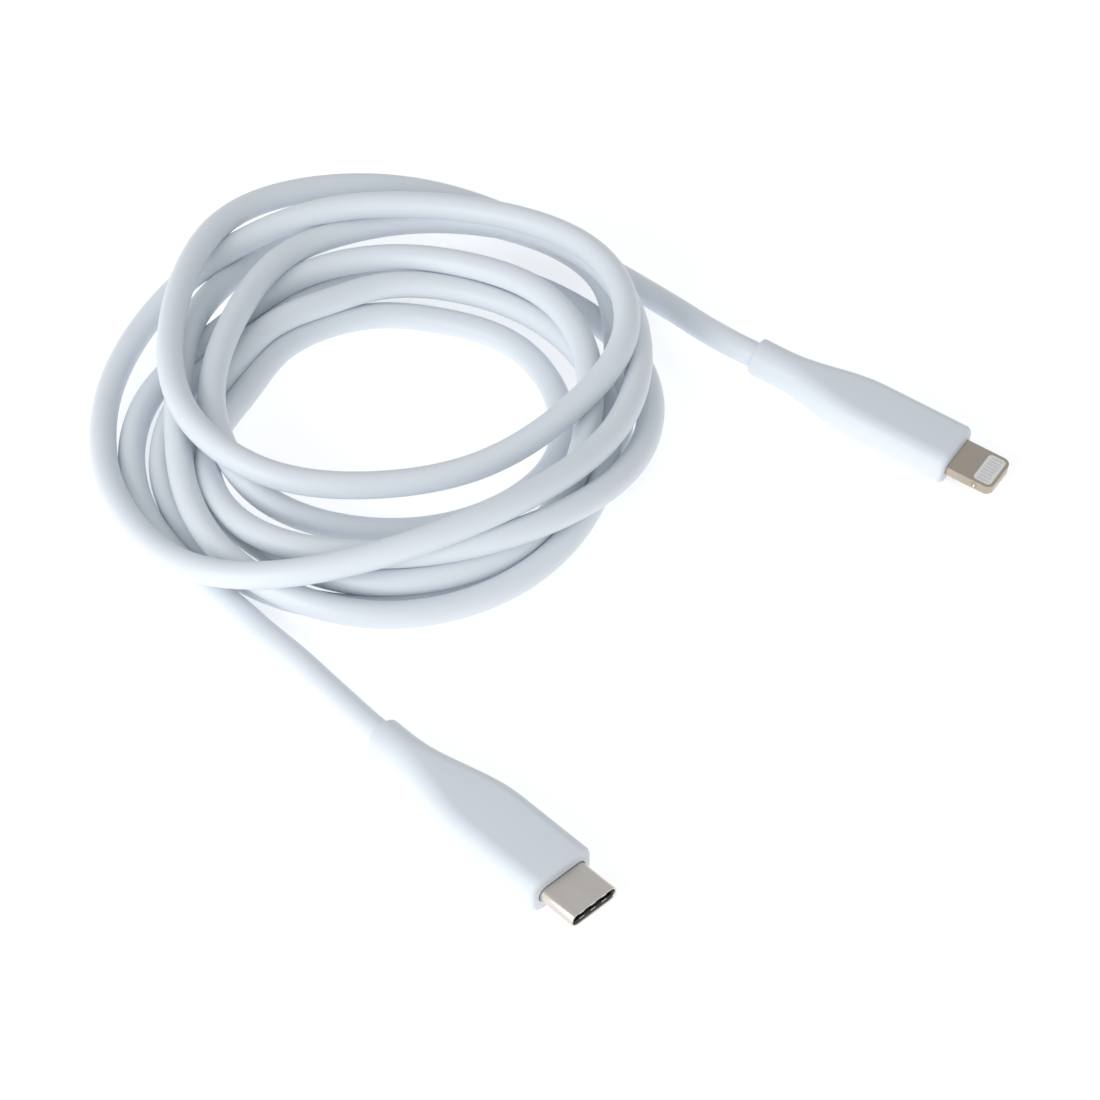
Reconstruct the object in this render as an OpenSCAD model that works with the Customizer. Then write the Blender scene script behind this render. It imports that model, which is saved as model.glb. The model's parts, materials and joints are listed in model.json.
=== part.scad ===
// Charging cable: a long round cord in a loose coil, with a reversible oval plug at one end and a flat
// tab plug at the other. Millimetres. +Z is up and the floor is z = 0. The origin lies on the floor,
// in the middle of the box around the two plugs.
// Each plug is modelled along +X, with x = 0 at the front face of its overmould and its tip at +X.

/* [Cord] */
// Outer diameter of the cord's jacket
cord_d = 4.0; // [3.3:0.1:4.8]
// Diameter of the bundle of wires inside the jacket
core_d = 2.8; // [2.3:0.1:3.4]
// Diameter of one insulated wire
wire_d = 0.8; // [0.5:0.05:0.95]
// Number of insulated wires in each plug
wire_count = 5; // [3:1:5]

/* [Coil] */
// Outer radius of the coil as it lies
coil_r = 46; // [40:0.5:60]
// Radius of the hole in the middle of the coil
coil_hole_r = 18; // [10:0.5:24]
// Height of the coil above the floor
coil_h = 14; // [10:0.5:20]

/* [Oval plug overmould] */
// Thickness of the overmould beside the nose
oval_side = 1.42; // [1.2:0.02:2.4]
// Thickness of the overmould above and below the nose
oval_cover = 1.9; // [1.5:0.05:2.6]
// Length of the straight part of the oval plug's body
oval_body_len = 13.4; // [12.8:0.2:24]
// Length of the flare between the oval plug's body and its collar
oval_flare_len = 18.0; // [12:0.2:24]
// Length of the oval plug's collar
oval_collar_len = 4.0; // [3:0.2:8]
// How far the oval plug's hard inner mould reaches into its flare
oval_mould_reach = 2.2; // [2.2:0.1:3]

/* [Oval plug nose] */
// Width of the oval nose sleeve
nose_w = 8.25; // [6.8:0.05:10]
// Height of the oval nose sleeve
nose_h = 2.4; // [2.1:0.05:3.0]
// Wall of the oval nose sleeve
nose_wall = 0.25; // [0.15:0.05:0.35]
// Length of the nose that stands out of the overmould
nose_len = 6.1; // [5:0.1:8]
// Height of the slot that takes the socket's tongue
slot_h = 0.8; // [0.6:0.05:1.0]
// Insulator left at each end of the slot
slot_side = 0.42; // [0.3:0.02:0.7]
// Number of contacts on each side of the slot
oval_contacts = 12; // [6:1:12]

/* [Tab plug overmould] */
// Thickness of the overmould beside the tab
tab_side = 1.5; // [1.2:0.05:2.4]
// Thickness of the overmould above and below the tab
tab_cover = 2.25; // [1.8:0.05:3.0]
// Length of the straight part of the tab plug's body
tab_body_len = 14.6; // [12:0.2:24]
// Length of the flare between the tab plug's body and its collar
tab_flare_len = 15.0; // [10:0.2:20]
// Length of the tab plug's collar
tab_collar_len = 4.1; // [3:0.2:8]
// How far the tab plug's hard inner mould reaches into its flare
tab_mould_reach = 0.8; // [0.8:0.1:2.5]

/* [Tab] */
// Width of the metal tab
tab_w = 6.7; // [5.5:0.05:8.2]
// Thickness of the metal tab
tab_t = 1.5; // [1.3:0.05:1.9]
// Length of the tab that stands out of the overmould
tab_len = 7.3; // [6:0.1:9]
// Radius of the tab's front corners
tab_corner_r = 1.2; // [0.8:0.1:1.6]
// Length of the contact window along the tab
window_len = 2.8; // [2.3:0.1:3.4]
// Metal left at each side of the contact window
window_side = 0.55; // [0.5:0.05:0.9]
// Metal left between the contact window and the tip of the tab
window_margin = 0.5; // [0.4:0.05:0.9]
// Number of contacts on each face of the tab
tab_contacts = 8; // [4:1:8]
// Radius of the catch dimple in each edge of the tab
dimple_r = 0.5; // [0.3:0.05:0.6]

/* [Strain relief] */
// Wall of the soft collar around the cord
collar_wall = 0.85; // [0.6:0.05:1.2]
// Wall of the crimped ferrule around the cord's end
crimp_wall = 0.35; // [0.2:0.05:0.5]
// Length of the crimped ferrule
crimp_len = 3.5; // [2.5:0.1:5]
// Rounding of the overmoulds' front edges
front_r = 0.8; // [0.4:0.1:1.2]
// Depth of the shallow seat around the nose and around the tab
seat_depth = 0.4; // [0.2:0.1:0.6]
// Gap between the overmould and the metal in that seat
seat_gap = 0.15; // [0.1:0.05:0.3]

/* [Hidden] */
$fn = 48;

// Where the plugs lie: the middle of each overmould's front face, its heading and its nose-down tilt
oval_at = [-19.3, -46.2];
oval_heading = -46.2;
oval_tilt = 0;
tab_at = [38.2, 33.7];
tab_heading = -31.4;
tab_tilt = 6.3;

// The coil keeps its distance from both plugs: its right side stays at x = 0 and its near side just
// behind y = 0. Then its centre on the floor, and the rounding of the ring that stands for it
coil_near = 0.4;
coil_at = [-coil_r, coil_r + coil_near];
coil_edge = 3;

// Routes of the two straight leads, from just behind each collar to just inside the coil
oval_route = [[-46.6, -17.4, 2.8], [-49.7, -13.4, 2.3], [-52.7, -9.6, 2], [-55.6, -6, 2],
    [-58.4, -2.9, 2], [-61.1, 0.1, 2], [-63.5, 3, 2], [-65.7, 5.6, 2], [-68, 8.3, 2]];
tab_route = [[7, 53.1, 6.5], [4.4, 55.9, 5.8], [2.1, 59, 4.9], [0, 62.2, 3.7],
    [-2.2, 65.3, 2.6], [-4.8, 68.3, 2.1], [-8.2, 71.6, 2], [-12, 74.7, 2]];
lead_sides = 10;

// How far a cut runs past the face it opens, and the small flat that keeps a round ring's points apart
past = 1;
flat = 0.01;

// Overmoulds
mould_steps = 6;
collar_d = cord_d + 2 * collar_wall;
oval_body_w = nose_w + 2 * oval_side;
oval_body_h = nose_h + 2 * oval_cover;
oval_len = oval_body_len + oval_flare_len + oval_collar_len;
oval_mould_len = oval_body_len + oval_mould_reach;
tab_body_w = tab_w + 2 * tab_side;
tab_body_h = tab_t + 2 * tab_cover;
tab_plug_len = tab_body_len + tab_flare_len + tab_collar_len;
tab_mould_len = tab_body_len + tab_mould_reach;
body_corner = 2.2;
skirt_wall = 0.7;

// Inner mould, can, board and wires, shared by both plugs
inner_setback = 1.0;
inner_corner = 1.2;
mould_end_gap = 0.1;
mould_back_wall = 1.4;
chamber_len = 2.4;
can_wall = 0.2;
can_clear = 0.05;
can_room = 0.2;
can_corner = 0.4;
board_clear = 0.3;
board_inset = 0.6;
wire_pad_len = 2.0;
wire_sides = 8;
chip = [2.0, 2.4, 0.5];
passive = [1.0, 0.5, 0.4];
passive_gap = 0.7;
crimp_r = cord_d / 2 + crimp_wall;
wire_lay_r = (core_d - wire_d) / 2;

// Oval plug inside
oval_depth = 5.0;
oval_can_grip = 1.0;
oval_can_w = nose_w + 2 * (can_clear + can_wall);
oval_can_h = slot_h + 2 * (wire_d + can_room + can_wall);
oval_can_len = oval_mould_len - mould_end_gap - mould_back_wall - chamber_len - oval_depth;
oval_board_w = oval_can_w - 2 * can_wall - board_clear;
slot_w = nose_w - 2 * (nose_wall + slot_side);
slot_back = 0.4;
insulator_setback = 0.25;
insulator_inset = 0.6;
oval_contact = [0.26, 0.2];
oval_contact_margin = 0.57;
oval_contact_front = nose_len - 2.0;
oval_contact_tail = 1.4;
oval_pitch = (slot_w - oval_contact.x - 2 * oval_contact_margin) / (oval_contacts - 1);
latch_t = 0.25;
latch_back = 1.6;
latch_gap = 0.1;
finger = [1.5, 0.9, 0.2];
finger_pitch = slot_w / 3.4;
oval_chip_x = chip_middle(-oval_depth - oval_contact_tail, -oval_depth - oval_can_len);

// Tab plug inside
tab_depth = 3.6;
tab_flange = [1.2, 0.55];
tab_can_w = tab_w + 2 * (can_clear + can_wall);
tab_board_t = 0.8;
tab_can_h = tab_board_t + 2 * (wire_d + can_room + can_wall);
tab_can_len = tab_mould_len - mould_end_gap - mould_back_wall - chamber_len - tab_depth;
tab_board_w = tab_can_w - 2 * can_wall - board_clear;
tab_contact = [0.42, 1.9, 0.3];
tab_contact_margin = 0.32;
window_w = tab_w - 2 * window_side;
window_corner = 0.6;
window_middle = tab_len - window_margin - window_len / 2;
tab_pitch = (window_w - tab_contact.x - 2 * tab_contact_margin) / (tab_contacts - 1);
channel_w = window_w - 2 * tab_contact_margin;
channel_h = tab_t - 2 * tab_contact.z;
tab_chip_x = chip_middle(-tab_depth - can_wall, -tab_depth - tab_can_len);
dimple_at = 2.7;
dimple_depth = 0.25;
dimple_ball_r = (dimple_r * dimple_r + dimple_depth * dimple_depth) / (2 * dimple_depth);

// Places: each plug lies on the floor, tipped about the rounded lower edge of its front face
function rest_height(body_h, tilt) =
    (body_h / 2 - front_r) * cos(tilt) + front_r * (1 - sin(tilt));

module place_oval() {
    translate([oval_at.x, oval_at.y, rest_height(oval_body_h, oval_tilt)])
        rotate([0, oval_tilt, oval_heading]) children();
}

module place_tab() {
    translate([tab_at.x, tab_at.y, rest_height(tab_body_h, tab_tilt)])
        rotate([0, tab_tilt, tab_heading]) children();
}

// A unit vector along a plug's axis, towards its tip
function plug_dir(heading, tilt) =
    [cos(heading) * cos(tilt), sin(heading) * cos(tilt), -sin(tilt)];

// The middle of the back of a plug's collar
function collar_end(at, body_h, heading, tilt, len) =
    [at.x, at.y, rest_height(body_h, tilt)] - len * plug_dir(heading, tilt);

// A flat shape pushed along the plug's axis, from x = from to x = to
module along(from, to) {
    translate([from, 0, 0]) rotate([90, 0, 90]) linear_extrude(to - from) children();
}

module stadium(w, h) {
    square([w - h, h], center = true);
    for (side = [-1, 1]) translate([side * (w - h) / 2, 0]) circle(d = h);
}

module rounded_rect(w, h, r) {
    square([w - 2 * r, h], center = true);
    square([w, h - 2 * r], center = true);
    for (x = [-1, 1], y = [-1, 1]) translate([x * (w / 2 - r), y * (h / 2 - r)]) circle(r);
}

module block(from, to, w, low, high) {
    translate([from, -w / 2, low]) cube([to - from, w, high - low]);
}

// One ring of an overmould's skin: a rounded rectangle w by h with corner radius r, at x
function ring(x, w, h, r) = [
    for (corner = [0:3], step = [0:mould_steps])
        let (turn = corner * 90 + step * 90 / mould_steps,
             cy = (corner == 0 || corner == 3 ? 1 : -1) * (w / 2 - r),
             cz = (corner < 2 ? 1 : -1) * (h / 2 - r))
        [x, cy + r * cos(turn), cz + r * sin(turn)]
];

function blend(a, b, t) = a + (b - a) * t;
function ease(t) = t * t * (3 - 2 * t);

// Rings of an overmould from its rounded front edge, along the body and the flare, to the collar
function mould_rings(w, h, body_len, flare_len, collar_len) =
    let (corner_r = min(body_corner, h / 2 - flat), collar_r = collar_d / 2 - flat)
    concat(
        [for (step = [0:4])
            let (turn = step * 90 / 4, inset = front_r * (1 - sin(turn)))
            ring(-front_r * (1 - cos(turn)), w - 2 * inset, h - 2 * inset, corner_r - inset)],
        [for (step = [0:10])
            let (t = step / 10, s = ease(t))
            ring(-body_len - t * flare_len, blend(w, collar_d, s), blend(h, collar_d, s),
                blend(corner_r, collar_r, s))],
        [ring(-body_len - flare_len - collar_len, collar_d, collar_d, collar_r)]
    );

// A closed skin through a list of rings that all have the same number of points
module skin(rings) {
    count = len(rings[0]);
    last = len(rings) - 1;
    points = [for (one = rings, point = one) point];
    sides = [for (i = [0:last - 1], j = [0:count - 1])
        let (k = (j + 1) % count)
        [i * count + j, i * count + k, (i + 1) * count + k, (i + 1) * count + j]];
    front = [for (j = [count - 1:-1:0]) j];
    back = [for (j = [0:count - 1]) last * count + j];
    polyhedron(points, concat([front], sides, [back]), convexity = 4);
}

// Overmoulds: a soft skin that is open at the front for the metal and at the back for the cord
module overmould(w, h, body_len, flare_len, collar_len, mould_len) {
    mould_back = mould_end_gap - mould_len;
    difference() {
        skin(mould_rings(w, h, body_len, flare_len, collar_len));
        along(mould_back, -inner_setback)
            rounded_rect(w - 2 * skirt_wall, h - 2 * skirt_wall, inner_corner);
        along(mould_back - crimp_len, mould_back + flat) circle(crimp_r);
        along(-body_len - flare_len - collar_len - past, mould_back) circle(d = cord_d);
        children();
    }
}

// The hard inner mould fills the overmould around the can and closes behind it
module inner_mould(w, h, mould_len, can_w, can_h, can_front) {
    mould_back = mould_end_gap - mould_len;
    difference() {
        along(mould_back, -inner_setback)
            rounded_rect(w - 2 * skirt_wall, h - 2 * skirt_wall, inner_corner);
        along(mould_back + mould_back_wall, can_front) rounded_rect(can_w, can_h, can_corner);
        along(mould_back - past, mould_back + mould_back_wall + flat) circle(d = core_d);
        children();
    }
}

// Folded metal can, open behind, with an opening in its front wall
module can(w, h, from, to) {
    difference() {
        along(from, to) rounded_rect(w, h, can_corner);
        along(from - past, to - can_wall) rounded_rect(w - 2 * can_wall, h - 2 * can_wall, can_wall);
        children();
    }
}

module crimp(mould_len) {
    front = mould_end_gap - mould_len;
    difference() {
        along(front - crimp_len, front) circle(crimp_r);
        along(front - crimp_len - past, front + past) circle(d = cord_d);
    }
}

module jacket_end(mould_len, total) {
    front = mould_end_gap - mould_len;
    difference() {
        along(-total, front) circle(d = cord_d);
        along(-total - past, front + past) circle(d = core_d);
    }
}

// Wires fan out of the cord's core onto the back of the board, some above it and some below
module wires(can_back, board_w, board_t, mould_len, total) {
    for (i = [0:wire_count - 1]) {
        spread = (i - (wire_count - 1) / 2) * board_w / (wire_count + 0.5);
        level = (i % 2 == 0 ? 1 : -1) * (board_t + wire_d) / 2;
        lay_y = wire_lay_r * cos(lay_angle(i));
        lay_z = wire_lay_r * sin(lay_angle(i));
        route = [
            [can_back + board_inset + wire_pad_len, spread, level],
            [can_back, spread, level],
            [mould_end_gap - mould_len + mould_back_wall, lay_y, lay_z],
            [-total, lay_y, lay_z]
        ];
        skin(tube_rings(route, [-1, 0, 0], [-1, 0, 0], wire_d, wire_sides));
    }
}

// Wires keep their order from left to right and from top to bottom as they enter the core
function lay_angle(i) =
    let (upper_count = ceil(wire_count / 2), lower_count = floor(wire_count / 2), k = floor(i / 2))
    i % 2 == 0 ? 180 - (k + 0.5) * 180 / upper_count : 180 + (k + 0.5) * 180 / lower_count;

// The chip sits in the middle of the board's free length, with a small part at each side
function chip_middle(front, can_back) = (front + can_back + board_inset + wire_pad_len) / 2;

module chip_block(middle, board_t) {
    block(middle - chip.x / 2, middle + chip.x / 2, chip.y, board_t / 2, board_t / 2 + chip.z);
}

module passive_set(middle, board_t) {
    for (side = [-1, 1], face = [0, 1])
        translate([0, side * (chip.y / 2 + passive_gap), 0])
            mirror([0, 0, face])
                block(middle - passive.x / 2, middle + passive.x / 2, passive.y,
                    board_t / 2, board_t / 2 + passive.z);
}

module oval_overmould() {
    color("whitesmoke") place_oval()
        overmould(oval_body_w, oval_body_h, oval_body_len, oval_flare_len, oval_collar_len,
            oval_mould_len) {
            along(-inner_setback - flat, past) stadium(nose_w, nose_h);
            along(-seat_depth, past) stadium(nose_w + 2 * seat_gap, nose_h + 2 * seat_gap);
        }
}

// Drawn metal sleeve, open at both ends
module oval_nose() {
    color("silver") place_oval() difference() {
        along(-oval_depth, nose_len) stadium(nose_w, nose_h);
        along(-oval_depth - past, nose_len + past)
            stadium(nose_w - 2 * nose_wall, nose_h - 2 * nose_wall);
    }
}

module oval_contact_row(face) {
    for (i = [0:oval_contacts - 1])
        translate([0, (i - (oval_contacts - 1) / 2) * oval_pitch, 0])
            mirror([0, 0, face])
                block(-oval_depth - oval_contact_tail, oval_contact_front, oval_contact.x,
                    slot_h / 2, slot_h / 2 + oval_contact.y);
}

module oval_insulator() {
    color("#202020") place_oval() difference() {
        along(-oval_depth + insulator_inset, nose_len - insulator_setback)
            stadium(nose_w - 2 * nose_wall, nose_h - 2 * nose_wall);
        block(slot_back, nose_len + past, slot_w, -slot_h / 2, slot_h / 2);
        for (face = [0, 1]) oval_contact_row(face);
        oval_latch_shape();
        oval_finger_set();
    }
}

module oval_contacts_upper() {
    color("gold") place_oval() oval_contact_row(0);
}

module oval_contacts_lower() {
    color("gold") place_oval() oval_contact_row(1);
}

// One spring plate with an arm along each end of the slot, which snaps into the socket's tongue
module oval_latch_shape() {
    difference() {
        block(-oval_depth + latch_back, oval_contact_front, slot_w, -latch_t / 2, latch_t / 2);
        block(slot_back - past, nose_len, slot_w - 4 * latch_t, -slot_h, slot_h);
    }
    for (side = [-1, 1])
        translate([0, side * (slot_w - latch_t) / 2, 0])
            block(slot_back, oval_contact_front, latch_t, -slot_h / 2 + latch_gap, slot_h / 2 - latch_gap);
}

module oval_latch() {
    color("silver") place_oval() oval_latch_shape();
}

// Three spring fingers above the slot's mouth and three below it
module oval_finger_set() {
    front = nose_len - insulator_setback;
    for (face = [0, 1], i = [-1:1])
        mirror([0, 0, face])
            translate([0, i * finger_pitch, 0])
                block(front - finger.x, front, finger.y, slot_h / 2, slot_h / 2 + finger.z);
}

module oval_ground_fingers() {
    color("gray") place_oval() oval_finger_set();
}

// The board is as thick as the slot, so each row of contacts lies along one of its faces
module oval_board() {
    color("darkgreen") place_oval()
        block(-oval_depth - oval_can_len + board_inset, -oval_depth, oval_board_w,
            -slot_h / 2, slot_h / 2);
}

module oval_chip() {
    color("#303030") place_oval() chip_block(oval_chip_x, slot_h);
}

module oval_passives() {
    color("tan") place_oval() passive_set(oval_chip_x, slot_h);
}

module oval_can() {
    color("silver") place_oval()
        can(oval_can_w, oval_can_h, -oval_depth - oval_can_len, -oval_depth + oval_can_grip)
            along(-oval_depth, past) stadium(nose_w, nose_h);
}

module oval_inner_mould() {
    color("ivory") place_oval()
        inner_mould(oval_body_w, oval_body_h, oval_mould_len, oval_can_w, oval_can_h,
            -oval_depth + oval_can_grip)
            along(-oval_depth, past) stadium(nose_w, nose_h);
}

module oval_crimp() {
    color("silver") place_oval() crimp(oval_mould_len);
}

module oval_wires() {
    color("orangered") place_oval()
        wires(-oval_depth - oval_can_len, oval_board_w, slot_h, oval_mould_len, oval_len);
}

module oval_jacket_end() {
    color("whitesmoke") place_oval() jacket_end(oval_mould_len, oval_len);
}

module tab_overmould() {
    color("whitesmoke") place_tab()
        overmould(tab_body_w, tab_body_h, tab_body_len, tab_flare_len, tab_collar_len,
            tab_mould_len) {
            along(-inner_setback - flat, past) square([tab_w, tab_t], center = true);
            along(-seat_depth, past) square([tab_w + 2 * seat_gap, tab_t + 2 * seat_gap], center = true);
        }
}

// Outline of the tab seen from above, with rounded front corners
module tab_outline() {
    translate([-tab_depth, -tab_w / 2]) square([tab_depth + tab_len - tab_corner_r, tab_w]);
    translate([0, -tab_w / 2 + tab_corner_r]) square([tab_len, tab_w - 2 * tab_corner_r]);
    for (side = [-1, 1])
        translate([tab_len - tab_corner_r, side * (tab_w / 2 - tab_corner_r)]) circle(tab_corner_r);
}

// The window that the contact carrier fills, right through the tab
module window_shape(t) {
    translate([window_middle, 0, -t / 2])
        linear_extrude(t) rounded_rect(window_len, window_w, window_corner);
}

// The ridge across the tab's back end, above and below it, that the inner mould grips
module flange_shape() {
    block(-tab_depth, -tab_depth + tab_flange.x, tab_w, -tab_t / 2 - tab_flange.y,
        tab_t / 2 + tab_flange.y);
}

module tongue_shape(back) {
    block(back, window_middle, channel_w, -channel_h / 2, channel_h / 2);
}

// Metal tab with its flange, a channel for the carrier's tongue and a catch dimple in each edge
module tab_frame() {
    color("#b5a99a") place_tab() difference() {
        union() {
            translate([0, 0, -tab_t / 2]) linear_extrude(tab_t) tab_outline();
            flange_shape();
        }
        window_shape(tab_t + 2 * past);
        tongue_shape(-tab_depth - past);
        for (side = [-1, 1])
            translate([tab_len - dimple_at, side * (tab_w / 2 + dimple_ball_r - dimple_depth), 0])
                sphere(dimple_ball_r);
    }
}

module tab_pad_row(face) {
    for (i = [0:tab_contacts - 1])
        translate([0, (i - (tab_contacts - 1) / 2) * tab_pitch, 0])
            mirror([0, 0, face])
                block(window_middle - tab_contact.y / 2, window_middle + tab_contact.y / 2,
                    tab_contact.x, tab_t / 2 - tab_contact.z, tab_t / 2);
}

// Moulded carrier: a block in the window on a tongue that runs back through the tab
module tab_carrier() {
    color("white") place_tab() difference() {
        union() {
            window_shape(tab_t);
            tongue_shape(-tab_depth);
        }
        for (face = [0, 1]) tab_pad_row(face);
    }
}

module tab_contacts_upper() {
    color("silver") place_tab() tab_pad_row(0);
}

module tab_contacts_lower() {
    color("silver") place_tab() tab_pad_row(1);
}

module tab_board() {
    color("darkgreen") place_tab()
        block(-tab_depth - tab_can_len + board_inset, -tab_depth, tab_board_w,
            -tab_board_t / 2, tab_board_t / 2);
}

module tab_chip() {
    color("#303030") place_tab() chip_block(tab_chip_x, tab_board_t);
}

module tab_passives() {
    color("tan") place_tab() passive_set(tab_chip_x, tab_board_t);
}

module tab_can() {
    color("silver") place_tab()
        can(tab_can_w, tab_can_h, -tab_depth - tab_can_len, -tab_depth)
            block(-tab_depth - past, past, tab_board_w, -tab_board_t / 2, tab_board_t / 2);
}

module tab_inner_mould() {
    color("ivory") place_tab()
        inner_mould(tab_body_w, tab_body_h, tab_mould_len, tab_can_w, tab_can_h, -tab_depth) {
            along(-tab_depth - flat, past) square([tab_w, tab_t], center = true);
            flange_shape();
        }
}

module tab_crimp() {
    color("silver") place_tab() crimp(tab_mould_len);
}

module tab_wires() {
    color("orangered") place_tab()
        wires(-tab_depth - tab_can_len, tab_board_w, tab_board_t, tab_mould_len, tab_plug_len);
}

module tab_jacket_end() {
    color("whitesmoke") place_tab() jacket_end(tab_mould_len, tab_plug_len);
}

// The space that the coiled turns of the cord fill
module cord_coil() {
    color("whitesmoke") translate([coil_at.x, coil_at.y, 0])
        rotate_extrude($fn = 96)
            translate([(coil_r + coil_hole_r) / 2, coil_h / 2])
                rounded_rect(coil_r - coil_hole_r, coil_h, coil_edge);
}

function unit(v) = v / norm(v);

// One ring of a tube around a point of its route, square to the way the route runs there
function tube_ring(point, way, d, sides) =
    let (side = unit(cross(way, [0, 0, 1])), up = cross(side, way))
    [for (i = [0:sides - 1])
        point + d / 2 * (side * cos(i * 360 / sides) - up * sin(i * 360 / sides))];

// Rings along a route that starts and ends in the given directions
function tube_rings(route, first_way, last_way, d, sides) =
    let (last = len(route) - 1)
    [for (i = [0:last])
        let (way = i == 0 ? first_way : i == last ? last_way : unit(route[i + 1] - route[i - 1]))
        tube_ring(route[i], way, d, sides)];

module lead(start, route, first_way) {
    last = len(route) - 1;
    last_way = unit(route[last] - route[last - 1]);
    skin(tube_rings(concat([start], route), first_way, last_way, cord_d, lead_sides));
}

module cord_lead_oval() {
    color("whitesmoke") lead(
        collar_end(oval_at, oval_body_h, oval_heading, oval_tilt, oval_len),
        oval_route, -plug_dir(oval_heading, oval_tilt));
}

module cord_lead_tab() {
    color("whitesmoke") lead(
        collar_end(tab_at, tab_body_h, tab_heading, tab_tilt, tab_plug_len),
        tab_route, -plug_dir(tab_heading, tab_tilt));
}

oval_overmould();
oval_nose();
oval_insulator();
oval_contacts_upper();
oval_contacts_lower();
oval_latch();
oval_ground_fingers();
oval_board();
oval_chip();
oval_passives();
oval_can();
oval_inner_mould();
oval_crimp();
oval_wires();
oval_jacket_end();
tab_overmould();
tab_frame();
tab_carrier();
tab_contacts_upper();
tab_contacts_lower();
tab_board();
tab_chip();
tab_passives();
tab_can();
tab_inner_mould();
tab_crimp();
tab_wires();
tab_jacket_end();
cord_coil();
cord_lead_oval();
cord_lead_tab();
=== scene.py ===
"""Charging cable: one long round cord in a loose coil, with an oval plug and a flat tab plug at its ends."""
import json
import math

import bpy
import numpy as np
from mathutils import Matrix, Vector


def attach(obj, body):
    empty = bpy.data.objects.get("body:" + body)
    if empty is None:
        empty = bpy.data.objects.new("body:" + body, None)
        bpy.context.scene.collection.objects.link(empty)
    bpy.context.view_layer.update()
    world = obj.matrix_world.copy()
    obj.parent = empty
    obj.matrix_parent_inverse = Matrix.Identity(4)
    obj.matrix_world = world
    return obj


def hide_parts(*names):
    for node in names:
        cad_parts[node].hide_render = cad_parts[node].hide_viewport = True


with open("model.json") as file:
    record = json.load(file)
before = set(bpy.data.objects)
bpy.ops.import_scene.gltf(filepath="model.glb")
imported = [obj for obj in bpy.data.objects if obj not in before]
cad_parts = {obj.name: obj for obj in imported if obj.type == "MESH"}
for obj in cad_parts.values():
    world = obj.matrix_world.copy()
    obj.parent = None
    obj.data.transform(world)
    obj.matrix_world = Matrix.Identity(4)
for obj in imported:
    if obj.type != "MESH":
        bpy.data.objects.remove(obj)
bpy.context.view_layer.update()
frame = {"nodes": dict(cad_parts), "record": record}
MM = 0.001

bl_info = {
    "name": "Charging cable",
    "version": (1, 0, 0),
    "blender": (4, 5, 0),
    "location": "View3D > Sidebar > Cable",
    "description": "Builds a charging cable in a loose coil with its two moulded plugs",
    "category": "Object",
}

# The straight stretches of the cord, from just behind each collar to the edge of the coil, in millimetres.
# A separate script worked these points out and rounded them: they weren't chosen by hand.
OVAL_ROUTE = [
    (-46.6, -17.4, 2.8), (-49.7, -13.4, 2.3), (-52.7, -9.6, 2), (-55.6, -6, 2), (-58.4, -2.9, 2),
    (-61.1, 0.1, 2), (-63.5, 3, 2), (-65.7, 5.6, 2), (-68, 8.3, 2),
]
TAB_ROUTE = [
    (7, 53.1, 6.5), (4.4, 55.9, 5.8), (2.1, 59, 4.9), (0, 62.2, 3.7), (-2.2, 65.3, 2.6),
    (-4.8, 68.3, 2.1), (-8.2, 71.6, 2), (-12, 74.7, 2),
]
# Each turn of the coil: how far it lies from the coil's middle at every twelfth of the way round, and
# about how high its centre line lies there, in millimetres. The first turn starts at 60 degrees.
# Both tables were worked out and rounded by a separate script, and then a few values of the first turn
# were changed by hand. They are data, and a loop over a few values for each turn ought to replace them.
COIL_MIDDLE = (-46.0, 49.0)
FIRST_BEARING = 60
TURN_STATIONS = 12
TURN_REACH = [
    (41.0, 42.0, 39.0, 33.0, 30.5, 31.0, 30.5, 28.5, 29.0, 31.5),
    (36.5, 36.0, 31.5, 30.0, 32.5, 36.0, 39.5, 43.0, 48.5, 44.5, 40.5, 39.0),
    (38.0, 37.5, 34.5, 31.5, 27.0, 23.0, 23.5, 28.0, 32.0, 31.5, 31.0, 30.0),
    (25.5, 21.0, 17.0, 16.0, 16.5, 18.5, 21.0, 29.5, 38.0, 41.0, 42.5, 42.0),
    (38.5, 33.5, 29.5, 26.5, 24.0, 22.5, 27.5, 36.0, 43.0, 44.5, 41.0, 37.5),
    (34.5, 38.5, 39.0, 39.0, 35.5, 31.0, 29.0, 32.5, 42.5, 48.0, 45.5, 38.5),
    (31.5, 25.5, 21.0, 18.5, 17.5, 21.0, 24.0, 30.0, 36.0, 43.0, 42.0, 35.5),
    (31.0, 27.0, 23.5, 23.0, 23.5, 24.5, 33.0, 41.0),
]
TURN_HEIGHT = [
    (2, 3, 6, 10, 10, 11, 10, 6, 6, 8),
    (12, 8, 8, 8, 6, 3, 2, 4, 9, 9, 8, 9),
    (6, 5, 4, 5, 8, 9, 9, 7, 2, 2, 3, 3),
    (2, 2, 2, 2, 2, 2, 3, 5, 6, 6, 7, 4),
    (2, 2, 2, 2, 2, 3, 5, 4, 4, 2, 2, 2),
    (2, 2, 2, 2, 3, 3, 5, 7, 6, 3, 2, 2),
    (5, 5, 5, 5, 5, 3, 2, 2, 2, 4, 4, 5),
    (9, 7, 5, 5, 4, 2, 2, 2),
]

# The camera looks at this point on the floor
CAMERA_TARGET = Vector((-20.9, 17.65, 0)) * MM
CAMERA_DISTANCE = 600 * MM
CAMERA_ELEVATION = math.radians(46)
CAMERA_LENS = 137.06
CAMERA_SENSOR = 36

# Laying the cord: samples of its first smooth line, how many points at each end are held fast and how many
# keep their height, and the numbers that steer the strands as they settle
SPLINE_SAMPLES = 6000
HELD_POINTS = 3
LEAD_POINTS = 18
ORDER_NUDGE = 0.3
PUSH_STRENGTH = 1.9
HEAVY_SHARE = 0.7
LIGHTER = 5

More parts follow.
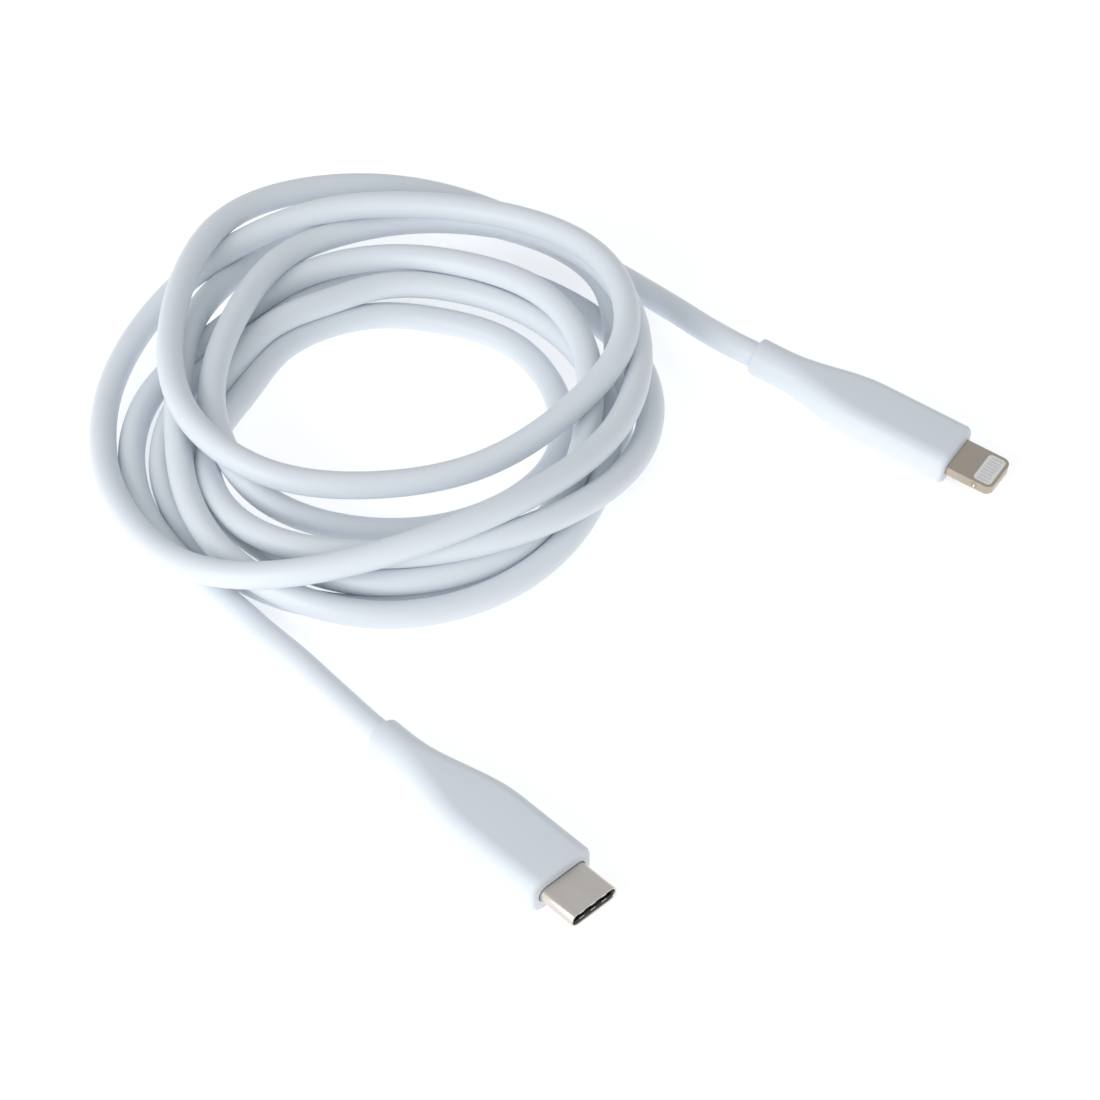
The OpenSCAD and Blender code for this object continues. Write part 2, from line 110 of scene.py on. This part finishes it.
# Modelling: points closer than this are one point, and points this near a plane lie on it
MERGE_DISTANCE = 0.001 * MM
ON_PLANE = 0.01 * MM
SMOOTH_ANGLE = math.radians(35)
BEVEL_ANGLE = math.radians(40)
FLAT_ANGLE = math.radians(1)

# The overmoulds' roundings, and the shallow seat around each plug's metal
CORNER_SEGMENTS = 11
FRONT_SEGMENTS = 6
COLLAR_SEGMENTS = 4
SEAT_SEGMENTS = 10
FLARE_CUTS = 23
COLLAR_EDGE = 0.35 * MM
SEAT_GAP = 0.15 * MM
SEAT_DEPTH = 0.4 * MM
TAB_THICKNESS = 1.5 * MM
TAB_SEAT_CORNER = 0.3 * MM

# Softened edges of the metal and of the insulator
NOSE_EDGE = 0.11 * MM
CORE_EDGE = 0.04 * MM
TAB_EDGE = 0.12 * MM
JACKET_ROUGHNESS = 0.42
METAL_ROUGHNESS = 0.3

# The floor's side, the sky's tint, and the soft light's side and place from the point looked at, in metres
FLOOR_SIZE = 6
SKY_COLOUR = (0.97, 0.985, 1.0)
SOFT_BOX_SIZE = 0.7
SOFT_BOX_PLACE = Vector((-0.75, -0.8, 0.45))


def length_prop(name, description, default_mm):
    return bpy.props.FloatProperty(
        name=name, description=description, default=default_mm * MM, min=0,
        subtype="DISTANCE", unit="LENGTH",
    )


def colour_prop(name, description, default):
    return bpy.props.FloatVectorProperty(
        name=name, description=description, default=default, size=3, min=0, max=1, subtype="COLOR"
    )


class CordSettings(bpy.types.PropertyGroup):
    """Sizes and looks of the cord"""

    diameter: length_prop("Diameter", "Outer diameter of the jacket", 4.0)
    spacing: length_prop("Spacing", "Distance between the points of the centre line", 1.6)
    rounds: bpy.props.IntProperty(
        name="Laying rounds", description="How often the strands are let down on each other",
        default=700, min=1,
    )
    jacket_colour: colour_prop("Jacket colour", "Colour of the smooth jacket", (0.75, 0.795, 0.845))


class PlugSettings(bpy.types.PropertyGroup):
    """Sizes and looks of both plugs"""

    oval_body: length_prop("Oval body", "Straight part of the oval plug's moulding", 13.4)
    oval_flare: length_prop("Oval flare", "Flare between the oval plug's body and collar", 18.0)
    tab_body: length_prop("Tab body", "Straight part of the tab plug's moulding", 14.6)
    tab_flare: length_prop("Tab flare", "Flare between the tab plug's body and collar", 15.0)
    corner: length_prop("Corner", "Rounding along the moulded bodies", 2.2)
    front_round: length_prop("Front edge", "Rounding of the front edge", 0.8)
    collar: length_prop("Collar", "Outer diameter of the collars", 5.7)
    moulding_colour: colour_prop("Moulding colour", "Colour of the overmoulds", (0.72, 0.765, 0.815))
    nose_colour: colour_prop("Nose colour", "Colour of the oval metal nose", (0.70, 0.66, 0.61))
    tab_colour: colour_prop("Tab colour", "Colour of the flat metal tab", (0.50, 0.44, 0.37))


class StageSettings(bpy.types.PropertyGroup):
    """Floor and light"""

    floor_colour: colour_prop("Floor colour", "Colour of the plain floor", (0.95, 0.95, 0.95))
    floor_glow: bpy.props.FloatProperty(
        name="Floor glow", description="Light that the floor gives off, as a light table does",
        default=0.4, min=0,
    )
    sky: bpy.props.FloatProperty(
        name="Sky", description="Strength of the even light from all round", default=0.64, min=0
    )
    soft_box: bpy.props.FloatProperty(
        name="Soft box", description="Power of the large soft light at the front left", default=6.6, min=0
    )


# ---------------------------------------------------------------- laying the cord


def plug_frame(mount_name):
    """Where a plug's own axes lie: +X along the mount's axis to the tip, +Z up, from the mount's place."""
    mount = next(m for m in frame["record"]["mounts"] if m["name"] == mount_name)
    forward = Vector(mount["axis"]).normalized()
    across = Vector((0, 0, 1)).cross(forward).normalized()
    up = forward.cross(across)
    turned = Matrix((forward, across, up)).transposed().to_4x4()
    return Matrix.Translation(Vector(mount["pos_m"])) @ turned


def local_box(node, place):
    """Lowest and highest corner of a CAD node in a plug's own axes."""
    back = place.inverted()
    points = np.array([back @ v.co for v in frame["nodes"][node].data.vertices])
    return Vector(points.min(0)), Vector(points.max(0))


def collar_exit(mount_name, overmould_node):
    """The middle of a collar's end, and the way into the plug from there."""
    place = plug_frame(mount_name)
    low, high = local_box(overmould_node, place)
    return place @ Vector((low.x, 0, 0)), (place.to_3x3() @ Vector((1, 0, 0))).normalized()


def coil_points():
    """Points round the coil, turn by turn."""
    points = []
    step = 2 * math.pi / TURN_STATIONS
    bearing = math.radians(FIRST_BEARING)
    for reaches, heights in zip(TURN_REACH, TURN_HEIGHT):
        for reach, height in zip(reaches, heights):
            x = COIL_MIDDLE[0] + reach * math.cos(bearing)
            y = COIL_MIDDLE[1] + reach * math.sin(bearing)
            points.append((x, y, height))
            bearing += step
    return points


def smooth_line(points, count):
    """A natural cubic spline through the points, as count samples."""
    points = np.array(points, float)
    along = np.r_[0, np.cumsum(np.linalg.norm(np.diff(points, axis=0), axis=1))]
    gaps = np.diff(along)
    size = len(points)
    matrix = np.eye(size)
    right = np.zeros_like(points)
    for i in range(1, size - 1):
        matrix[i, i - 1:i + 2] = gaps[i - 1], 2 * (gaps[i - 1] + gaps[i]), gaps[i]
        ahead = (points[i + 1] - points[i]) / gaps[i]
        behind = (points[i] - points[i - 1]) / gaps[i - 1]
        right[i] = 6 * (ahead - behind)
    bend = np.linalg.solve(matrix, right)
    at = np.linspace(0, along[-1], count)
    k = np.clip(np.searchsorted(along, at) - 1, 0, size - 2)
    after = (along[k + 1] - at)[:, None]
    before = (at - along[k])[:, None]
    gap = gaps[k][:, None]
    cubic = (bend[k] * after**3 + bend[k + 1] * before**3) / (6 * gap)
    start = (points[k] / gap - bend[k] * gap / 6) * after
    end = (points[k + 1] / gap - bend[k + 1] * gap / 6) * before
    return cubic + start + end


def even_line(points, spacing):
    """The same line with evenly spaced points."""
    along = np.r_[0, np.cumsum(np.linalg.norm(np.diff(points, axis=0), axis=1))]
    at = np.linspace(0, along[-1], round(along[-1] / spacing) + 1)
    return np.stack([np.interp(at, along, points[:, k]) for k in range(3)], axis=1)


def let_down(route, diameter, rounds):
    """Lets a stiff round cord down on the floor and on itself, with its ends held.

    Of two strands that start at clearly different heights, the higher one is kept on top.
    """
    hold, side_stiffness, lift_stiffness, fall, ends = 0.02, 20, 60, 0.01, 1e4
    count = len(route)
    spacing = np.linalg.norm(route[1] - route[0])
    flat = np.linalg.norm(route[:, None, :2] - route[None, :, :2], axis=2)
    one, other = np.where(flat < 2 * diameter)
    distinct = other - one > math.ceil(3 * diameter / spacing)
    one, other = one[distinct], other[distinct]
    above = np.sign(route[one, 2] - route[other, 2])
    ordered = np.abs(route[one, 2] - route[other, 2]) > diameter / 4
    second = np.zeros((count - 2, count))
    for i in range(count - 2):
        second[i, i:i + 3] = 1, -2, 1
    bending = second.T @ second
    held = np.zeros(count)
    held[:HELD_POINTS] = held[-HELD_POINTS:] = ends
    sideways = np.linalg.inv(np.diag(held + 1 + hold) + side_stiffness * bending)
    leads = held.copy()
    leads[HELD_POINTS:LEAD_POINTS] = leads[-LEAD_POINTS:-HELD_POINTS] = 1
    upwards = np.linalg.inv(np.diag(leads + 1) + lift_stiffness * bending)
    line = route.copy()
    for turn in range(rounds):
        gap = line[one] - line[other]
        crossed = (gap[:, 2] * above < 0) & ordered
        gap[crossed, 2] = ORDER_NUDGE * above[crossed]
        far = np.linalg.norm(gap, axis=1)
        close = (far < diameter) | crossed
        overlap = np.maximum(diameter - far[close], 0) / 2
        push = gap[close] / far[close][:, None] * overlap[:, None]
        moved = np.zeros_like(line)
        touches = np.zeros(count)
        for index, sign in ((one[close], 1), (other[close], -1)):
            np.add.at(moved, index, sign * push)
            np.add.at(touches, index, 1)
        moved *= PUSH_STRENGTH / np.sqrt(np.maximum(touches, 1))[:, None]
        sink = np.maximum(diameter / 2 - line[:, 2] - moved[:, 2], 0)
        weight = fall if turn < HEAVY_SHARE * rounds else fall / LIGHTER
        line[:, :2] = route[:, :2] + sideways @ (line[:, :2] - route[:, :2] + moved[:, :2])
        line[:, 2] = upwards @ (line[:, 2] + moved[:, 2] + sink - weight + leads * route[:, 2])
    line[:, 2] = np.maximum(line[:, 2], diameter / 2)
    return line


def cord_line(settings):
    """The laid centre line from the tab plug's collar to the oval plug's, in millimetres."""
    tab_exit, tab_inward = collar_exit("tab_plug", "tab_overmould")
    oval_exit, oval_inward = collar_exit("oval_plug", "oval_overmould")
    inside = settings.diameter / 2
    ends = [tab_exit + tab_inward * inside, tab_exit, oval_exit, oval_exit + oval_inward * inside]
    ends = [tuple(end / MM) for end in ends]
    route = ends[:2] + TAB_ROUTE + coil_points() + OVAL_ROUTE[::-1] + ends[2:]
    even = even_line(smooth_line(route, SPLINE_SAMPLES), settings.spacing / MM)
    return let_down(even, settings.diameter / MM, settings.rounds)


# ---------------------------------------------------------------- materials


def new_material(name, colour, roughness, metallic=0.0):
    """A material with its shader, and the object coordinates that its patterns read."""
    material = bpy.data.materials.new(name)
    material.use_nodes = True
    nodes = material.node_tree.nodes
    shader = nodes["Principled BSDF"]
    shader.inputs["Base Color"].default_value = (*colour, 1)
    shader.inputs["Roughness"].default_value = roughness
    shader.inputs["Metallic"].default_value = metallic
    place = nodes.new("ShaderNodeTexCoord")
    return material, shader, place.outputs["Object"]


def noise(material, vector, scale, detail=3.0, stretch=None):
    """A noise pattern, pulled out along the given directions if stretch is set."""
    nodes, links = material.node_tree.nodes, material.node_tree.links
    if stretch:
        mapping = nodes.new("ShaderNodeMapping")
        mapping.inputs["Rotation"].default_value = stretch[0]
        mapping.inputs["Scale"].default_value = stretch[1]
        links.new(vector, mapping.inputs["Vector"])
        vector = mapping.outputs["Vector"]
    pattern = nodes.new("ShaderNodeTexNoise")
    pattern.inputs["Scale"].default_value = scale
    pattern.inputs["Detail"].default_value = detail
    links.new(vector, pattern.inputs["Vector"])
    return pattern.outputs["Fac"]


def vary(material, fac, socket, low, high):
    """Drives a socket between two values, numbers or colours, by a pattern."""
    nodes, links = material.node_tree.nodes, material.node_tree.links
    if isinstance(low, tuple):
        mix = nodes.new("ShaderNodeMix")
        mix.data_type = "RGBA"
        mix.inputs["A"].default_value = (*low, 1)
        mix.inputs["B"].default_value = (*high, 1)
        links.new(fac, mix.inputs["Factor"])
        links.new(mix.outputs["Result"], socket)
        return
    spread = nodes.new("ShaderNodeMapRange")
    spread.inputs["To Min"].default_value = low
    spread.inputs["To Max"].default_value = high
    links.new(fac, spread.inputs["Value"])
    links.new(spread.outputs["Result"], socket)


def grain(material, shader, fac, strength, depth):
    """Fine relief on the surface."""
    nodes, links = material.node_tree.nodes, material.node_tree.links
    bump = nodes.new("ShaderNodeBump")
    bump.inputs["Strength"].default_value = strength
    bump.inputs["Distance"].default_value = depth
    links.new(fac, bump.inputs["Height"])
    links.new(bump.outputs["Normal"], shader.inputs["Normal"])


def shade(colour, amount):
    return tuple(min(max(c * amount, 0), 1) for c in colour)


def soft_white(name, colour, roughness):
    """Smooth, slightly silky moulded plastic."""
    material, shader, place = new_material(name, colour, roughness)
    broad = noise(material, place, 90, 2)
    fine = noise(material, place, 4500, 2)
    vary(material, broad, shader.inputs["Base Color"], shade(colour, 0.985), shade(colour, 1.015))
    vary(material, broad, shader.inputs["Roughness"], roughness - 0.04, roughness + 0.04)
    grain(material, shader, fine, 0.25, 0.02 * MM)
    shader.inputs["Specular IOR Level"].default_value = 0.4
    return material


def satin_metal(name, colour, roughness, heading):
    """Rolled metal with faint lines along the plug."""
    material, shader, place = new_material(name, colour, roughness, 1.0)
    lines = noise(material, place, 900, 3, ((0, 0, -heading), (0.12, 6, 6)))
    broad = noise(material, place, 260, 2)
    vary(material, broad, shader.inputs["Base Color"], shade(colour, 0.93), shade(colour, 1.07))
    vary(material, lines, shader.inputs["Roughness"], roughness - 0.07, roughness + 0.1)
    grain(material, shader, lines, 0.2, 0.01 * MM)
    return material


def plain(name, colour, roughness, metallic=0.0, scale=1500):
    """Moulded, printed or plated surface with a faint unevenness."""
    material, shader, place = new_material(name, colour, roughness, metallic)
    pattern = noise(material, place, scale, 3)
    vary(material, pattern, shader.inputs["Base Color"], shade(colour, 0.9), shade(colour, 1.1))
    vary(material, pattern, shader.inputs["Roughness"], max(roughness - 0.06, 0.05), roughness + 0.06)
    grain(material, shader, pattern, 0.2, 0.01 * MM)
    return material


# ---------------------------------------------------------------- modelling helpers


def select_only(*objects):
    bpy.ops.object.select_all(action="DESELECT")
    for each in objects:
        each.select_set(True)
    bpy.context.view_layer.objects.active = objects[-1]


def select_faces(obj, test):
    """Selects the faces whose middle and normal pass the test, in edit mode."""
    bpy.ops.mesh.select_mode(type="FACE")
    bpy.ops.mesh.select_all(action="DESELECT")
    bpy.ops.object.mode_set(mode="OBJECT")
    for face in obj.data.polygons:
        face.select = test(face.center, face.normal)
    bpy.ops.object.mode_set(mode="EDIT")


def select_edges(obj, test):
    """Selects the edges whose two ends pass the test, in edit mode."""
    bpy.ops.mesh.select_mode(type="EDGE")
    bpy.ops.mesh.select_all(action="DESELECT")
    bpy.ops.object.mode_set(mode="OBJECT")
    points = obj.data.vertices
    for edge in obj.data.edges:
        edge.select = all(test(points[v].co) for v in edge.vertices)
    bpy.ops.object.mode_set(mode="EDIT")


def push_out(x):
    bpy.ops.mesh.extrude_region_move(TRANSFORM_OT_translate={"value": (x, 0, 0)})


def tidy_mesh():
    bpy.ops.mesh.select_all(action="SELECT")
    bpy.ops.mesh.remove_doubles(threshold=MERGE_DISTANCE)
    bpy.ops.mesh.normals_make_consistent(inside=False)


def add_modifier(obj, kind, **values):
    modifier = obj.modifiers.new(kind.title(), kind)
    for key, value in values.items():
        setattr(modifier, key, value)
    select_only(obj)
    bpy.ops.object.modifier_apply(modifier=modifier.name)


def upright_outline(name, x, width, height, corner, segments):
    """A rounded rectangle that faces +X, as a single face, left in edit mode."""
    bpy.ops.object.select_all(action="DESELECT")
    bpy.ops.mesh.primitive_plane_add(size=1, location=(x, 0, 0), rotation=(0, math.pi / 2, 0))
    obj = bpy.context.object
    obj.name = obj.data.name = name
    bpy.ops.object.transform_apply()
    bpy.ops.object.mode_set(mode="EDIT")
    bpy.ops.mesh.select_all(action="SELECT")
    bpy.ops.transform.resize(value=(1, width, height), center_override=(x, 0, 0))
    bpy.ops.mesh.bevel(offset=corner, segments=segments, affect="VERTICES", clamp_overlap=True)
    bpy.ops.mesh.remove_doubles(threshold=MERGE_DISTANCE)
    return obj


def prism(name, back, front, width, height, corner, segments):
    """A closed bar along X with a rounded rectangle as its section."""
    obj = upright_outline(name, front, width, height, corner, segments)
    bpy.ops.mesh.select_all(action="SELECT")
    push_out(back - front)
    tidy_mesh()
    bpy.ops.object.mode_set(mode="OBJECT")
    return obj


def settle(obj, place, material, body="root"):
    """Puts a finished piece in its place, with its own origin at the frame's."""
    obj.matrix_world = place
    select_only(obj)
    bpy.ops.object.transform_apply()
    obj.data.materials.clear()
    obj.data.materials.append(material)
    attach(obj, body)


def cut_away(obj, cutter):
    """Takes the cutter's shape out of a piece, and the cutter out of the scene."""
    add_modifier(obj, "BOOLEAN", operation="DIFFERENCE", object=cutter, solver="EXACT")
    bpy.data.objects.remove(cutter)


def ease_flare(body, start, length):
    """Bridges the two selected loops, then slides the new rings along X so that both ends run out softly."""
    bpy.ops.mesh.bridge_edge_loops(number_cuts=FLARE_CUTS, interpolation="LINEAR")
    shares = [cut / (FLARE_CUTS + 1) for cut in range(1, FLARE_CUTS + 1)]
    for share in sorted(shares, key=lambda each: abs(each - 0.5)):
        eased = 0.5 - math.sin(math.asin(1 - 2 * share) / 3)
        select_edges(body, lambda point: abs(point.x - start - length * share) < ON_PLANE)
        bpy.ops.transform.translate(value=(length * (eased - share), 0, 0))


def moulding(name, size, seat, settings, body_len, flare_len):
    """An overmould along -X from its front face: body, flare and collar in one smooth skin."""
    total, width, height = size
    body = upright_outline(name, 0, width, height, settings.corner, CORNER_SEGMENTS)
    bpy.ops.mesh.select_all(action="SELECT")
    push_out(-body_len)
    tidy_mesh()
    select_faces(body, lambda middle, normal: normal.x < -0.9)
    bpy.ops.mesh.delete(type="ONLY_FACE")
    select_edges(body, lambda point: point.x > -ON_PLANE)
    bpy.ops.mesh.bevel(offset=settings.front_round, segments=FRONT_SEGMENTS, affect="EDGES")
    collar_front = -body_len - flare_len
    bpy.ops.mesh.select_all(action="DESELECT")
    bpy.ops.mesh.primitive_circle_add(
        vertices=4 * (CORNER_SEGMENTS + 1), radius=settings.collar / 2, fill_type="NGON",
        location=(collar_front, 0, 0), rotation=(0, math.pi / 2, 0),
    )
    turn = math.pi / (4 * (CORNER_SEGMENTS + 1))
    bpy.ops.transform.rotate(value=turn, orient_axis="X", center_override=(collar_front, 0, 0))
    push_out(-total - collar_front)
    select_faces(body, lambda middle, normal: abs(middle.x - collar_front) < ON_PLANE)
    bpy.ops.mesh.delete(type="ONLY_FACE")
    select_edges(body, lambda point: point.x < -total + ON_PLANE)
    bpy.ops.mesh.bevel(offset=COLLAR_EDGE, segments=COLLAR_SEGMENTS, affect="EDGES")
    ends = (-body_len, collar_front)
    select_edges(body, lambda point: min(abs(point.x - end) for end in ends) < ON_PLANE)
    ease_flare(body, -body_len, -flare_len)
    tidy_mesh()
    bpy.ops.object.mode_set(mode="OBJECT")
    depth, seat_width, seat_height, seat_corner = seat
    cut_away(body, prism("seat_cutter", -depth, depth, seat_width, seat_height, seat_corner, SEAT_SEGMENTS))
    select_only(body)
    bpy.ops.object.shade_smooth_by_angle(angle=SMOOTH_ANGLE)
    return body


def detailed_copy(node, name, edge, segments=3):
    """A copy of a CAD node with its sharp edges softened."""
    source = frame["nodes"][node]
    obj = bpy.data.objects.new(name, source.data.copy())
    bpy.context.scene.collection.objects.link(obj)
    select_only(obj)
    bpy.ops.object.mode_set(mode="EDIT")
    bpy.ops.mesh.select_all(action="SELECT")
    bpy.ops.mesh.remove_doubles(threshold=MERGE_DISTANCE)
    bpy.ops.mesh.dissolve_limited(angle_limit=FLAT_ANGLE)
    bpy.ops.object.mode_set(mode="OBJECT")
    add_modifier(
        obj, "BEVEL", width=edge, segments=segments, limit_method="ANGLE", angle_limit=BEVEL_ANGLE,
        use_clamp_overlap=True,
    )
    select_only(obj)
    bpy.ops.object.shade_smooth_by_angle(angle=SMOOTH_ANGLE)
    return obj


# ---------------------------------------------------------------- operators


class CABLE_OT_camera(bpy.types.Operator):
    """Sets the camera that looks down on the cable from the front"""

    bl_idname = "cable.camera"
    bl_label = "Camera"

    def execute(self, context):
        data = bpy.data.cameras.new("camera")
        data.lens = CAMERA_LENS
        data.sensor_width = CAMERA_SENSOR
        camera = bpy.data.objects.new("camera", data)
        away = Vector((0, -math.cos(CAMERA_ELEVATION), math.sin(CAMERA_ELEVATION)))
        camera.location = CAMERA_TARGET + away * CAMERA_DISTANCE
        camera.rotation_euler = (math.pi / 2 - CAMERA_ELEVATION, 0, 0)
        context.scene.collection.objects.link(camera)
        context.scene.camera = camera
        return {"FINISHED"}


class CABLE_OT_cord(bpy.types.Operator):
    """Lays the whole cord from the tab plug, round the coil, to the oval plug"""

    bl_idname = "cable.cord"
    bl_label = "Cord"

    def execute(self, context):
        settings = context.scene.cable_cord
        line = cord_line(settings) * MM
        curve = bpy.data.curves.new("cord", "CURVE")
        curve.dimensions = "3D"
        curve.bevel_depth = settings.diameter / 2
        curve.bevel_resolution = 8
        curve.use_fill_caps = True
        spline = curve.splines.new("POLY")
        spline.points.add(len(line) - 1)
        spline.points.foreach_set("co", np.c_[line, np.ones(len(line))].ravel())
        cord = bpy.data.objects.new("cord", curve)
        context.scene.collection.objects.link(cord)
        curve.materials.append(soft_white("jacket", settings.jacket_colour, JACKET_ROUGHNESS))
        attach(cord, "root")
        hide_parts("cord_coil", "cord_lead_oval", "cord_lead_tab")
        return {"FINISHED"}


class CABLE_OT_overmoulds(bpy.types.Operator):
    """Moulds both plugs' soft bodies with their flares and collars"""

    bl_idname = "cable.overmoulds"
    bl_label = "Overmoulds"

    def execute(self, context):
        settings = context.scene.cable_plugs
        white = soft_white("moulding", settings.moulding_colour, 0.45)
        for kind, metal, body_len, flare_len in (
            ("oval", "oval_nose", settings.oval_body, settings.oval_flare),
            ("tab", "tab_frame", settings.tab_body, settings.tab_flare),
        ):
            place = plug_frame(kind + "_plug")
            low, high = local_box(kind + "_overmould", place)
            size = (-low.x, high.y - low.y, high.z - low.z)
            metal_low, metal_high = local_box(metal, place)
            if kind == "oval":
                seat_height = metal_high.z - metal_low.z + 2 * SEAT_GAP
                corner = seat_height / 2
            else:
                seat_height = TAB_THICKNESS + 2 * SEAT_GAP
                corner = TAB_SEAT_CORNER
            seat = (SEAT_DEPTH, metal_high.y - metal_low.y + 2 * SEAT_GAP, seat_height, corner)
            piece = moulding(kind + "_moulding", size, seat, settings, body_len, flare_len)
            settle(piece, place, white)
            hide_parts(kind + "_overmould")
        return {"FINISHED"}


class CABLE_OT_oval_metal(bpy.types.Operator):
    """Finishes the oval nose and what shows inside it"""

    bl_idname = "cable.oval_metal"
    bl_label = "Oval nose"

    def execute(self, context):
        settings = context.scene.cable_plugs
        forward = plug_frame("oval_plug").to_3x3() @ Vector((1, 0, 0))
        heading = math.atan2(forward.y, forward.x)
        nose = detailed_copy("oval_nose", "nose_sleeve", NOSE_EDGE)
        nickel = satin_metal("nickel", settings.nose_colour, METAL_ROUGHNESS, heading)
        settle(nose, Matrix.Identity(4), nickel)
        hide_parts("oval_nose")
        core = detailed_copy("oval_insulator", "nose_core", CORE_EDGE, 1)
        settle(core, Matrix.Identity(4), plain("black_plastic", (0.012, 0.012, 0.013), 0.45))
        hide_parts("oval_insulator")
        return {"FINISHED"}


class CABLE_OT_tab_metal(bpy.types.Operator):
    """Finishes the flat metal tab"""

    bl_idname = "cable.tab_metal"
    bl_label = "Flat tab"

    def execute(self, context):
        settings = context.scene.cable_plugs
        forward = plug_frame("tab_plug").to_3x3() @ Vector((1, 0, 0))
        heading = math.atan2(forward.y, forward.x)
        tab = detailed_copy("tab_frame", "tab_blade", TAB_EDGE)
        champagne = satin_metal("champagne", settings.tab_colour, METAL_ROUGHNESS, heading)
        settle(tab, Matrix.Identity(4), champagne)
        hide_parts("tab_frame")
        return {"FINISHED"}


class CABLE_OT_inner_finish(bpy.types.Operator):
    """Gives every carried-over piece inside and at the tips of the plugs its finish"""

    bl_idname = "cable.inner_finish"
    bl_label = "Inner finish"

    def execute(self, context):
        jacket = soft_white("jacket_end", context.scene.cable_cord.jacket_colour, JACKET_ROUGHNESS)
        finishes = {
            "oval_contacts": plain("gold", (0.83, 0.58, 0.24), 0.22, 1.0),
            "oval_latch": plain("spring_steel", (0.55, 0.54, 0.52), 0.3, 1.0),
            "oval_ground_fingers": plain("finger_steel", (0.5, 0.49, 0.47), 0.3, 1.0),
            "tab_carrier": plain("carrier_white", (0.78, 0.79, 0.78), 0.35),
            "tab_contacts": plain("silver", (0.80, 0.80, 0.78), 0.25, 1.0),
            "board": plain("board_lacquer", (0.015, 0.11, 0.04), 0.25),
            "chip": plain("chip_resin", (0.02, 0.02, 0.022), 0.5),
            "passives": plain("ceramic", (0.45, 0.30, 0.16), 0.45),
            "can": plain("can_steel", (0.62, 0.61, 0.59), 0.28, 1.0),
            "inner_mould": plain("hard_resin", (0.66, 0.60, 0.45), 0.5),
            "crimp": plain("ferrule", (0.66, 0.65, 0.62), 0.3, 1.0),
            "wires": plain("wire_skin", (0.60, 0.07, 0.02), 0.4),
            "jacket_end": jacket,
        }
        for name, node in frame["nodes"].items():
            finish = next((m for key, m in finishes.items() if key in name), None)
            if finish:
                node.data.materials.clear()
                node.data.materials.append(finish)
        return {"FINISHED"}


class CABLE_OT_stage(bpy.types.Operator):
    """Sets the plain floor and the soft studio light"""

    bl_idname = "cable.stage"
    bl_label = "Stage"

    def execute(self, context):
        settings = context.scene.cable_stage
        bpy.ops.object.select_all(action="DESELECT")
        bpy.ops.mesh.primitive_plane_add(size=FLOOR_SIZE)
        floor = context.object
        floor.name = "floor"
        material, shader, _ = new_material("light_table", settings.floor_colour, 0.9)
        shader.inputs["Emission Color"].default_value = (1, 1, 1, 1)
        shader.inputs["Emission Strength"].default_value = settings.floor_glow
        floor.data.materials.append(material)
        world = bpy.data.worlds.new("sky")
        world.use_nodes = True
        sky = world.node_tree.nodes["Background"]
        sky.inputs["Color"].default_value = (*SKY_COLOUR, 1)
        sky.inputs["Strength"].default_value = settings.sky
        context.scene.world = world
        data = bpy.data.lights.new("soft_box", "AREA")
        data.size = SOFT_BOX_SIZE
        data.energy = settings.soft_box
        lamp = bpy.data.objects.new("soft_box", data)
        lamp.location = CAMERA_TARGET + SOFT_BOX_PLACE
        lamp.rotation_euler = (CAMERA_TARGET - lamp.location).to_track_quat("-Z", "Y").to_euler()
        context.scene.collection.objects.link(lamp)
        context.scene.view_settings.view_transform = "Standard"
        return {"FINISHED"}


class CABLE_PT_panel(bpy.types.Panel):
    """Lists the cable's settings and its pieces"""

    bl_idname = "CABLE_PT_panel"
    bl_label = "Charging cable"
    bl_space_type = "VIEW_3D"
    bl_region_type = "UI"
    bl_category = "Cable"

    def draw(self, context):
        for group in (context.scene.cable_cord, context.scene.cable_plugs, context.scene.cable_stage):
            box = self.layout.box()
            for key in group.__annotations__:
                box.prop(group, key)
        for operator in OPERATORS:
            self.layout.operator(operator.bl_idname)


SETTINGS = (("cable_cord", CordSettings), ("cable_plugs", PlugSettings), ("cable_stage", StageSettings))
OPERATORS = (
    CABLE_OT_camera, CABLE_OT_cord, CABLE_OT_overmoulds, CABLE_OT_oval_metal, CABLE_OT_tab_metal,
    CABLE_OT_inner_finish, CABLE_OT_stage,
)


def register():
    for name, group in SETTINGS:
        bpy.utils.register_class(group)
        setattr(bpy.types.Scene, name, bpy.props.PointerProperty(type=group))
    for operator in OPERATORS:
        bpy.utils.register_class(operator)
    bpy.utils.register_class(CABLE_PT_panel)


def unregister():
    bpy.utils.unregister_class(CABLE_PT_panel)
    for operator in reversed(OPERATORS):
        bpy.utils.unregister_class(operator)
    for name, group in reversed(SETTINGS):
        delattr(bpy.types.Scene, name)
        bpy.utils.unregister_class(group)


def main():
    register()
    bpy.ops.cable.camera()
    bpy.ops.cable.cord()
    bpy.ops.cable.overmoulds()
    bpy.ops.cable.oval_metal()
    bpy.ops.cable.tab_metal()
    bpy.ops.cable.inner_finish()
    bpy.ops.cable.stage()


if __name__ == "__main__":
    main()
